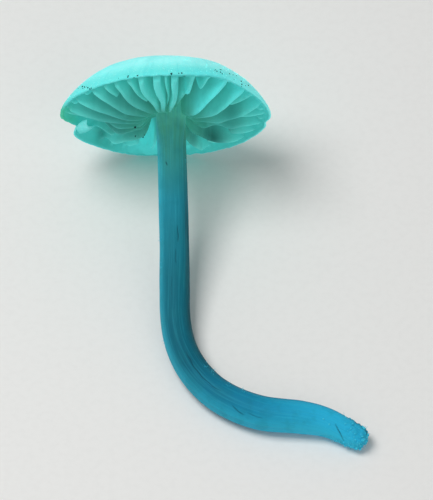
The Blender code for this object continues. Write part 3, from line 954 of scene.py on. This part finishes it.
# The torn margin's lobe, curled in under the notch: points that pull its outer and its inner side,
# from the shared tip to where the lobe grows out of the cap's underside
LOBE_OUTER_SIDE = [(-12.5, 0.5, -0.5), (-14.2, 2.2, -0.3), (-15.0, 5.6, -0.1), (-12.9, 9.6, 0.8)]
LOBE_INNER_SIDE = [(-12.5, 0.5, -0.5), (-13.0, 3.6, -0.5), (-11.8, 4.4, -0.3), (-11.4, 8.6, 2.1)]
LOBE_TIP = 0.02
LOBE_THICKNESS = 0.25
LOBE_CURL = 0.3
LOBE_UNEVENNESS = (0.06, 0.8, 4.0)
LOBE_ROWS = 28
LOBE_COLUMNS = 16
LOBE_RIM_TURN = 1.0               # edges that turn by more radians than this are rims, and rounded by
LOBE_RIM_BEVEL = 0.08
LOBE_SKIN_SHARE = 0.9             # its skin is like the cap's at this share
LOBE_ROOT_SHADE = 0.8
LOBE_SHADE_FROM_TO = (0.3, 0.9)


def pulled_curve(pulls, share):
    """A point on the smooth curve from the first pull to the last, which leans to the others."""
    points = [Vector(pull) for pull in pulls]
    while len(points) > 1:
        points = [start.lerp(end, share) for start, end in zip(points, points[1:])]
    return points[0]


def lobe_piece():
    """The bright flap of flesh that curls inwards from the notch in the margin."""
    bm, lie, tone = pattern_grid(LOBE_COLUMNS, LOBE_ROWS)
    height, size, seed = LOBE_UNEVENNESS
    for vert in bm.verts:
        across = (vert.co.x + 1.0) / 2.0
        along = LOBE_TIP + (1.0 - LOBE_TIP) * (vert.co.y + 1.0) / 2.0
        point = pulled_curve(LOBE_OUTER_SIDE, along).lerp(pulled_curve(LOBE_INNER_SIDE, along), across)
        curl = LOBE_CURL * math.sin(math.pi * across) * math.sin(math.pi * along)
        point.z -= curl + height * grain(point, size, seed)
        vert.co = point
        vert[lie] = Vector((across, along, 0.0))
        shade = LOBE_ROOT_SHADE * smoothstep(*LOBE_SHADE_FROM_TO, along)
        vert[tone] = Vector((LOBE_SKIN_SHARE, 0.0, shade))
    bmesh.ops.solidify(bm, geom=bm.faces[:], thickness=LOBE_THICKNESS)
    rims = [edge for edge in bm.edges if edge.calc_face_angle(0.0) > LOBE_RIM_TURN]
    bmesh.ops.bevel(
        bm, geom=rims, offset=LOBE_RIM_BEVEL, affect="EDGES", segments=2, profile=0.5, material=-1,
        clamp_overlap=True,
    )
    bmesh.ops.recalc_face_normals(bm, faces=bm.faces)
    lay_down(bm)
    return add_piece("margin_lobe", bm, cap_skin())


# Relief of the stem. Each layer of fibres has its lumps round the stem and along it, and its height
STEM_UNDULATION = (0.9, 0.10, 0.05)
STEM_FIBRES = [(3.4, 0.11, 0.05), (11.0, 0.22, 0.035), (24.0, 0.45, 0.018)]
STEM_TWIST = 0.012                # radians in a millimetre
FIBRES_LOST_ON_FOOT = 0.6
FOOT_BEFORE_END = (4.5, 2.0)      # the woolly foot starts and is in full this far before the end
FOOT_LUMPS = [(0.2, 0.9, 8.0), (0.16, 0.42, 12.0)]    # height, size and seed
FOOT_RING = 2.4
RELIEF_SUNK = 0.03

# The stem widens under the gills, most on the viewer's side
FLARE_FROM_TO = (4.5, 10.5)
FLARE = 0.2
FLARE_IN_FRONT = 1.1
FACING_FRONT = (0.2, 1.0)         # cosines of the turn from the front between which it grows

STEM_LIE_STEP = 0.1
# the painted shade in a crack grows with its depth
FULL_SHADE_CRACK_DEPTH = 0.1                  # a crack this deep is dark all through
# how sharply the stem's painted light turns from its left side to its right
PAINTED_SIDE_SHARPNESS = 1.5
SPLINE_STEPS = 40

# Cracks between the fibres. Each runs from one place to another: millimetres along the stem and degrees
# round it (0 faces the viewer, positive to the right), then half the crack's width and its depth
STEM_CRACKS = [
    (21.9, 15.0, 24.4, 14.0, 0.06, 0.10), (25.6, 2.0, 27.9, 5.5, 0.05, 0.08),
    (12.2, -26.0, 12.7, -20.0, 0.08, 0.12), (43.6, 0.0, 47.0, -8.0, 0.06, 0.11),
    (46.4, -7.0, 50.2, -12.0, 0.06, 0.11), (49.4, -11.0, 52.6, -12.5, 0.05, 0.09),
    (55.1, -40.0, 57.0, -56.0, 0.08, 0.10), (57.5, -44.0, 59.5, -50.0, 0.06, 0.07),
    (30.0, -12.0, 33.0, -14.0, 0.04, 0.05), (12.0, -140.0, 17.0, -150.0, 0.08, 0.12),
    (34.0, 160.0, 42.0, 150.0, 0.08, 0.12), (50.0, 110.0, 57.0, 100.0, 0.08, 0.12),
    (20.0, 95.0, 27.0, 88.0, 0.07, 0.09), (60.0, 70.0, 66.0, 64.0, 0.07, 0.09),
]
# One more on the foot, whose first and third numbers are millimetres before the stem's end
FOOT_CRACK = (4.9, -22.0, 2.5, -80.0, 0.06, 0.13)
CRACK_MARGIN = 1.0                # how far past its ends a crack may still cut
CRACK_WOBBLE = 0.05
CRACK_WOBBLE_PACE = 2.6
CRACK_ENDS = (0.06, 0.88)         # a crack's ends are a little open: start and span of its arch


def stem_depth(height, radius):
    """How far from the viewer the centre line runs: on the axis above, lying on the surface below."""
    lift = max(radius, STEM_TIP_LIFT) - STEM_PRESS
    lying = (UP.z * height - SURFACE_LEVEL - lift) / -UP.y
    return lying * smoothstep(-STEM_LEAVES_ABOVE, -STEM_LIES_BELOW, -height)


def spline_point(before, start, end, after, t):
    """A point on the smooth curve through four knots, between the second and the third."""
    return 0.5 * (
        2.0 * start + (end - before) * t + (2.0 * before - 5.0 * start + 4.0 * end - after) * t**2
        + (3.0 * start - before - 3.0 * end + after) * t**3
    )


def stem_stations():
    """Points evenly spaced along the smooth centre line, each with its radius and its distance."""
    knots = [Vector((x, stem_depth(height, radius), height, radius)) for x, height, radius in STEM_LINE]
    knots = [2.0 * knots[0] - knots[1]] + knots + [2.0 * knots[-1] - knots[-2]]
    dense = [
        spline_point(*knots[index - 1:index + 3], step / SPLINE_STEPS)
        for index in range(1, len(knots) - 2)
        for step in range(SPLINE_STEPS)
    ]
    dense.append(knots[-2])
    lengths = [0.0]
    for start, end in zip(dense, dense[1:]):
        lengths.append(lengths[-1] + (end.xyz - start.xyz).length)
    stations = []
    index = 0
    for ring in range(STEM_RINGS + 1):
        wanted = lengths[-1] * ring / STEM_RINGS
        while index < len(lengths) - 2 and lengths[index + 1] < wanted:
            index += 1
        t = (wanted - lengths[index]) / (lengths[index + 1] - lengths[index])
        stations.append((dense[index].lerp(dense[index + 1], t), wanted))
    return stations


def stem_sides(stations):
    """At each station, the stem's right and its front, turning as little as they can along the curve."""
    sides = []
    side = Vector((1.0, 0.0, 0.0))
    for index in range(len(stations)):
        before = stations[max(index - 1, 0)][0].xyz
        after = stations[min(index + 1, len(stations) - 1)][0].xyz
        heading = (after - before).normalized()
        side = (side - heading * side.dot(heading)).normalized()
        sides.append((side, heading.cross(side)))
    return sides


def crack_at(along, angle, radius, total):
    """How deep the cracks cut here, in millimetres."""
    cut = 0.0
    start, first, end, last, width, depth = FOOT_CRACK
    foot_crack = (total - start, first, total - end, last, width, depth)
    open_end, arch = CRACK_ENDS
    for start, first, end, last, width, depth in STEM_CRACKS + [foot_crack]:
        if not start - CRACK_MARGIN < along < end + CRACK_MARGIN:
            continue
        turn = math.radians(turn_from(first, angle)) * radius
        step = Vector((end - start, math.radians(last - first) * radius))
        here = Vector((along - start, turn + CRACK_WOBBLE * math.sin(along * CRACK_WOBBLE_PACE)))
        share = min(max(here.dot(step) / step.dot(step), 0.0), 1.0)
        away = (here - step * share).length
        deepest = depth * math.sin(math.pi * (open_end + arch * share)) ** 0.5
        cut = max(cut, deepest * hill(away, 0.0, width))
    return cut


def stem_relief(turn, along, total):
    """Height of the stem's surface: slow swells, bundles of fibres, and single fibres."""
    spiral = turn + along * STEM_TWIST
    around = Vector((math.cos(spiral), math.sin(spiral), 0.0))
    lengthwise = Vector((0.0, 0.0, along))
    pace, slow_pace, swell = STEM_UNDULATION
    swell *= noise.noise(around * pace + lengthwise * slow_pace + Vector((4.0, 0.0, 0.0)))
    fibres = sum(
        height * noise.noise(around * pace + lengthwise * slow_pace)
        for pace, slow_pace, height in STEM_FIBRES
    )
    lumps = sum(
        height * grain(around * FOOT_RING + lengthwise, size, seed) for height, size, seed in FOOT_LUMPS
    )
    starts, in_full = FOOT_BEFORE_END
    foot = smoothstep(total - starts, total - in_full, along)
    return swell + fibres * (1.0 - FIBRES_LOST_ON_FOOT * foot) + lumps * foot - RELIEF_SUNK


def stem_piece(stations):
    """The stem: a fibrous tube along the centre line, flattened where it lies, with a blunt woolly end."""
    total = stations[-1][1]
    sides = stem_sides(stations)

    def place(column, ring):
        station, along = stations[ring]
        right, front = sides[ring]
        turn = 2.0 * math.pi * column / STEM_COLUMNS
        at_end = ring == STEM_RINGS
        radius = 0.0 if at_end else station.w
        flare = FLARE + FLARE_IN_FRONT * smoothstep(*FACING_FRONT, math.cos(turn))
        flare *= 1.0 - smoothstep(*FLARE_FROM_TO, along)
        cut = crack_at(along, math.degrees(turn), radius, total)
        reach = radius + flare - cut + stem_relief(turn, along, total) * min(1.0, radius)
        outward = right * math.sin(turn) + front * math.cos(turn)
        spiral = turn + along * STEM_TWIST
        lie = Vector((math.cos(spiral), math.sin(spiral), along * STEM_LIE_STEP))
        # painted light: 1 on the stem's left side and -1 on its right, for its painted highlight and
        # painted shade
        painted_light_side = -math.sin(turn) * abs(math.sin(turn)) ** PAINTED_SIDE_SHARPNESS
        tone = Vector((along / total, min(cut / FULL_SHADE_CRACK_DEPTH, 1.0), painted_light_side))
        return station.xyz + outward * (0.0 if at_end else reach), lie, tone

    bm = formula_surface(STEM_COLUMNS, STEM_RINGS, place, close_rings=False)
    open_end = [edge for edge in bm.edges if edge.is_boundary]
    bmesh.ops.holes_fill(bm, edges=open_end, sides=0)
    lay_down(bm)
    return add_piece("stem_fibres", bm, stem_skin(), node="stem")


def picture_point(pixel, screen_up):
    """Where a pixel of the photograph lies, on the plane through the cap that faces the camera."""
    right = (pixel[0] - VIEW_AXIS[0]) * VIEW_SCALE * MM
    down = (pixel[1] - VIEW_AXIS[1]) * VIEW_SCALE * MM
    return LAY.translation + Vector((right, 0.0, 0.0)) - screen_up * down


def view_axes():
    """The direction towards the camera, the picture's up, and the point in the picture's middle."""
    elevation = math.pi / 2.0 - VIEW_BELOW - LAY_TILT
    screen_up = Vector((0.0, math.sin(elevation), math.cos(elevation)))
    towards = Vector((0.0, -math.cos(elevation), math.sin(elevation)))
    return towards, screen_up, picture_point((PHOTO_SIZE[0] / 2.0, PHOTO_SIZE[1] / 2.0), screen_up)


class Skin:
    """The surface of a finished piece, to set small things on."""

    def __init__(self, piece):
        bm = bmesh.new()
        bm.from_mesh(piece.data)
        self.tree = bvhtree.BVHTree.FromBMesh(bm)
        bm.free()

    def seen_at(self, pixel):
        """The point and normal of the surface that the photograph shows at a pixel."""
        towards, screen_up, middle = view_axes()
        eye = middle + towards * CAMERA_DISTANCE
        ray = picture_point(pixel, screen_up) - eye
        point, normal, face, distance = self.tree.ray_cast(eye, ray.normalized())
        return point, normal

    def nearest(self, place):
        """The point and normal of the surface nearest to a place in the mushroom's frame."""
        point, normal, face, distance = self.tree.find_nearest(LAY @ place)
        return point, normal


# Crumbs that stick to the cap: pixel of their middle, spread across and down, count
CRUMB_SPOTS = [
    ((217.0, 70.5), (4.0, 2.0), 7), ((232.0, 79.0), (16.0, 6.0), 12), ((244.0, 87.0), (6.0, 3.0), 5),
    ((86.0, 88.0), (8.0, 1.5), 12), ((128.0, 77.0), (12.0, 2.0), 5), ((176.0, 74.0), (6.0, 0.8), 5),
]
CRUMB_SIZES = (0.05, 0.13)

# Crumbs that stick to the gills: pixel and size
GILL_CRUMBS = [
    ((135.2, 127.2), 0.17), ((135.5, 136.2), 0.11), ((143.0, 137.0), 0.12), ((144.5, 135.0), 0.10),
]

# Crumbs strewn over the rest of the cap
STREWN_CRUMBS = 26
STREWN_AZIMUTHS = (60.0, 300.0)
STREWN_SHARES = (0.2, 0.97)
STREWN_SIZES = (0.05, 0.11)

# Patches of bloom: how many grains, azimuth and its spread, and the share they start from
BLOOM_PATCHES = [(150, -52.0, 24.0, 0.72), (70, 86.0, 12.0, 0.78)]
BLOOM_ENDS = 0.985
BLOOM_SIZES = (0.035, 0.09)

# A grain: how it is stretched across and up, how lumpy it is, and how much of it stands out
GRAIN_ACROSS = (0.7, 1.3)
GRAIN_UP = (0.6, 1.0)
GRAIN_LUMPS = 0.3
GRAIN_LUMP_PACE = 1.3
GRAIN_OUT = 0.25

# A hair: its sides, its joints, how much it curls and tapers, and its thickness
HAIR_SIDES = 5
HAIR_STEPS = 4
HAIR_CURL = (0.1, 0.5)
HAIR_TAPER = 0.75
HAIR_THICKNESS = (0.02, 0.035)

# Pixels where the stem's edge is frayed, and how many hairs stand there
FRAY_SPOTS = [
    ((160.8, 240.0), 6), ((161.0, 265.0), 7), ((165.0, 341.0), 6), ((205.5, 365.0), 6),
    ((213.0, 371.5), 6), ((229.0, 384.5), 7), ((243.0, 392.5), 7), ((186.0, 160.0), 3),
    ((262.0, 395.0), 4),
]
FRAY_SPREAD = (1.2, 3.0)
FRAY_LENGTHS = (0.25, 0.6)
FRAY_ASTRAY = 0.9

# Wool on the foot: grains and threads, crowded towards its end
WISPS = 170
WISPS_SPREAD = 2.4
WISPS_REACH = 7.0
WISPS_OUTSIDE = 0.3               # each is set on the skin nearest to a place this far outside the stem
WISP_CLEARANCE = 0.05             # none grows where the stem lies on the surface
WISP_LENGTHS = (0.3, 0.7)
WISP_ASTRAY = 0.8
WISP_GRAINS = (0.06, 0.16)
COARSE_GRAIN = 0.12               # the largest grains are this much larger at the very end
COARSE_FROM_TO = (1.0, 3.5)


def random_turn(normal, draw):
    """A turn that stands a thing up along a normal, any way round."""
    upright = normal.to_track_quat("Z", "Y").to_matrix()
    return upright @ Matrix.Rotation(draw.uniform(0.0, ABOUT_A_TURN), 3, "Z")


def add_grain(bm, point, normal, size, draw):
    """A small lumpy grain half sunk into a surface."""
    made = bmesh.ops.create_icosphere(bm, subdivisions=2, radius=size)["verts"]
    stretch = Vector((draw.uniform(*GRAIN_ACROSS), draw.uniform(*GRAIN_ACROSS), draw.uniform(*GRAIN_UP)))
    turn = random_turn(normal, draw)
    seed = Vector((draw.uniform(0.0, 99.0), 0.0, 0.0))
    for vert in made:
        lump = 1.0 + GRAIN_LUMPS * noise.noise(vert.co / size * GRAIN_LUMP_PACE + seed)
        vert.co = point + normal * size * GRAIN_OUT + turn @ (vert.co * stretch * lump)


def add_hair(bm, point, heading, length, draw):
    """A fine tapering hair that curls as it leaves the surface."""
    thickness = draw.uniform(*HAIR_THICKNESS) * MM
    turn = random_turn(heading, draw)
    curl = draw.uniform(*HAIR_CURL)
    ring = bmesh.ops.create_circle(bm, cap_ends=True, segments=HAIR_SIDES, radius=thickness)["verts"]
    edges = [edge for edge in bm.edges if edge.verts[0] in ring and edge.verts[1] in ring]
    for vert in ring:
        vert.co = point + turn @ vert.co
    middle = point
    left = 1.0
    for step in range(1, HAIR_STEPS + 1):
        share = step / HAIR_STEPS
        grown = bmesh.ops.extrude_edge_only(bm, edges=edges)["geom"]
        ring = [item for item in grown if isinstance(item, bmesh.types.BMVert)]
        edges = [item for item in grown if isinstance(item, bmesh.types.BMEdge)]
        edges = [edge for edge in edges if edge.verts[0] in ring and edge.verts[1] in ring]
        following = point + turn @ Vector((curl * length * share * share, 0.0, length * share))
        before, left = left, 1.0 - HAIR_TAPER * share
        for vert in ring:
            vert.co = following + (vert.co - middle) * (left / before)
        middle = following
    bmesh.ops.pointmerge(bm, verts=ring, merge_co=middle)


def near_pixel(middle, spread, draw):
    return tuple(centre + draw.uniform(-1.0, 1.0) * reach for centre, reach in zip(middle, spread))


def heading_astray(normal, astray, draw):
    return (normal + Vector([draw.uniform(-astray, astray) for axis in range(3)])).normalized()


def crumbs_piece(cap, gills):
    """Dark crumbs of litter stuck to the cap near its margin, a few on its crown and on the gills."""
    skin = Skin(cap)
    draw = random.Random(23)
    bm = bmesh.new()
    for middle, spread, count in CRUMB_SPOTS:
        for crumb in range(count):
            point, normal = skin.seen_at(near_pixel(middle, spread, draw))
            size = draw.uniform(*CRUMB_SIZES) * MM
            if point:
                add_grain(bm, point, normal, size, draw)
    gill_skin = Skin(gills)
    for pixel, size in GILL_CRUMBS:
        point, normal = gill_skin.seen_at(pixel)
        add_grain(bm, point, normal, size * MM, draw)
    for crumb in range(STREWN_CRUMBS):
        azimuth = draw.uniform(*STREWN_AZIMUTHS)
        point, normal = skin.nearest(dome_point(draw.uniform(*STREWN_SHARES), azimuth))
        add_grain(bm, point, normal, draw.uniform(*STREWN_SIZES) * MM, draw)
    return add_piece("litter_crumbs", bm, crumb_finish())


def bright_grains_piece(cap):
    """Pale grains of the cap's own bloom, crowded near the margin on the right and on the left."""
    skin = Skin(cap)
    draw = random.Random(31)
    bm = bmesh.new()
    for count, centre, spread, starts in BLOOM_PATCHES:
        for bloom_grain in range(count):
            azimuth = draw.gauss(centre, spread)
            share = min(draw.uniform(starts, 1.0), BLOOM_ENDS)
            point, normal = skin.nearest(dome_point(share, azimuth))
            add_grain(bm, point, normal, draw.uniform(*BLOOM_SIZES) * MM, draw)
    return add_piece("cap_bloom", bm, bloom_finish())


def fray_piece(stem, stations):
    """Hairs of torn fibre on the stem's edge, and the woolly threads and grains of its foot."""
    skin = Skin(stem)
    draw = random.Random(41)
    bm = bmesh.new()
    for pixel, count in FRAY_SPOTS:
        for hair in range(count):
            point, normal = skin.seen_at(near_pixel(pixel, FRAY_SPREAD, draw))
            if point is None:
                continue
            heading = heading_astray(normal, FRAY_ASTRAY, draw)
            add_hair(bm, point, heading, draw.uniform(*FRAY_LENGTHS) * MM, draw)
    total = stations[-1][1]
    for wisp in range(WISPS):
        along = total - min(abs(draw.gauss(0.0, WISPS_SPREAD)), WISPS_REACH)
        station = stations[min(round(along / total * STEM_RINGS), STEM_RINGS)][0]
        outward = Vector([draw.gauss(0.0, 1.0) for axis in range(3)]).normalized()
        point, normal = skin.nearest(station.xyz + outward * (station.w + WISPS_OUTSIDE))
        if point.z < WISP_CLEARANCE * MM:
            continue
        if wisp % 2:
            small, large = WISP_GRAINS
            large += COARSE_GRAIN * (1.0 - smoothstep(*COARSE_FROM_TO, total - along))
            add_grain(bm, point, normal, draw.uniform(small, large) * MM, draw)
        else:
            heading = heading_astray(normal, WISP_ASTRAY, draw)
            add_hair(bm, point, heading, draw.uniform(*WISP_LENGTHS) * MM, draw)
    flatten_on_surface(bm)
    bmesh.ops.recalc_face_normals(bm, faces=bm.faces)
    return add_piece("stem_fray", bm, fray_finish())


def floor_material():
    """Pale matt board with a faint fine grain."""
    material, wire, place = start_material("pale_board")
    speck = place.cloud(900.0, 3.0)
    color = (speck.between(0.4, 0.7) * 0.25).blend(tint(238, 238, 236), tint(230, 230, 228))
    shader = material.node_tree.nodes["Principled BSDF"]
    material.node_tree.links.new(color.socket, shader.inputs["Base Color"])
    shader.inputs["Roughness"].default_value = 0.85
    return material


def make_stage():
    bm = bmesh.new()
    bmesh.ops.create_grid(bm, x_segments=1, y_segments=1, size=FLOOR_REACH)
    mesh = bpy.data.meshes.new("floor")
    bm.to_mesh(mesh)
    bm.free()
    mesh.materials.append(floor_material())
    floor = bpy.data.objects.new("floor", mesh)
    bpy.context.scene.collection.objects.link(floor)


def make_lights():
    """Soft studio light: a large key from the upper left, a weak fill from the viewer's side."""
    for name, place, size, power in LIGHTS:
        lamp = bpy.data.lights.new(name, "AREA")
        lamp.size = size
        lamp.energy = power
        light = bpy.data.objects.new(name, lamp)
        light.location = place
        light.rotation_euler = (Vector(LIGHTS_AIM) - Vector(place)).to_track_quat("-Z", "Y").to_euler()
        bpy.context.scene.collection.objects.link(light)
    world = bpy.data.worlds.new("studio")
    world.use_nodes = True
    background = world.node_tree.nodes["Background"]
    background.inputs["Color"].default_value = (1.0, 1.0, 1.0, 1.0)
    background.inputs["Strength"].default_value = ROOM_LIGHT
    bpy.context.scene.world = world
    bpy.context.scene.view_settings.view_transform = "Standard"


def make_camera():
    """A long lens, placed so that the mushroom stands in the picture as in the photograph."""
    towards, screen_up, middle = view_axes()
    lens = bpy.data.cameras.new("photo_view")
    lens.sensor_width = CAMERA_SENSOR
    lens.lens = CAMERA_SENSOR * CAMERA_DISTANCE / (PHOTO_SIZE[1] * VIEW_SCALE * MM)
    camera = bpy.data.objects.new("photo_view", lens)
    camera.location = middle + towards * CAMERA_DISTANCE
    camera.rotation_euler = (-towards).to_track_quat("-Z", "Y").to_euler()
    bpy.context.scene.collection.objects.link(camera)
    bpy.context.scene.camera = camera


make_camera()
make_stage()
make_lights()
cap = cap_piece()
gills = gills_piece()
stations = stem_stations()
stem = stem_piece(stations)
lobe_piece()
crumbs_piece(cap, gills)
bright_grains_piece(cap)
fray_piece(stem, stations)
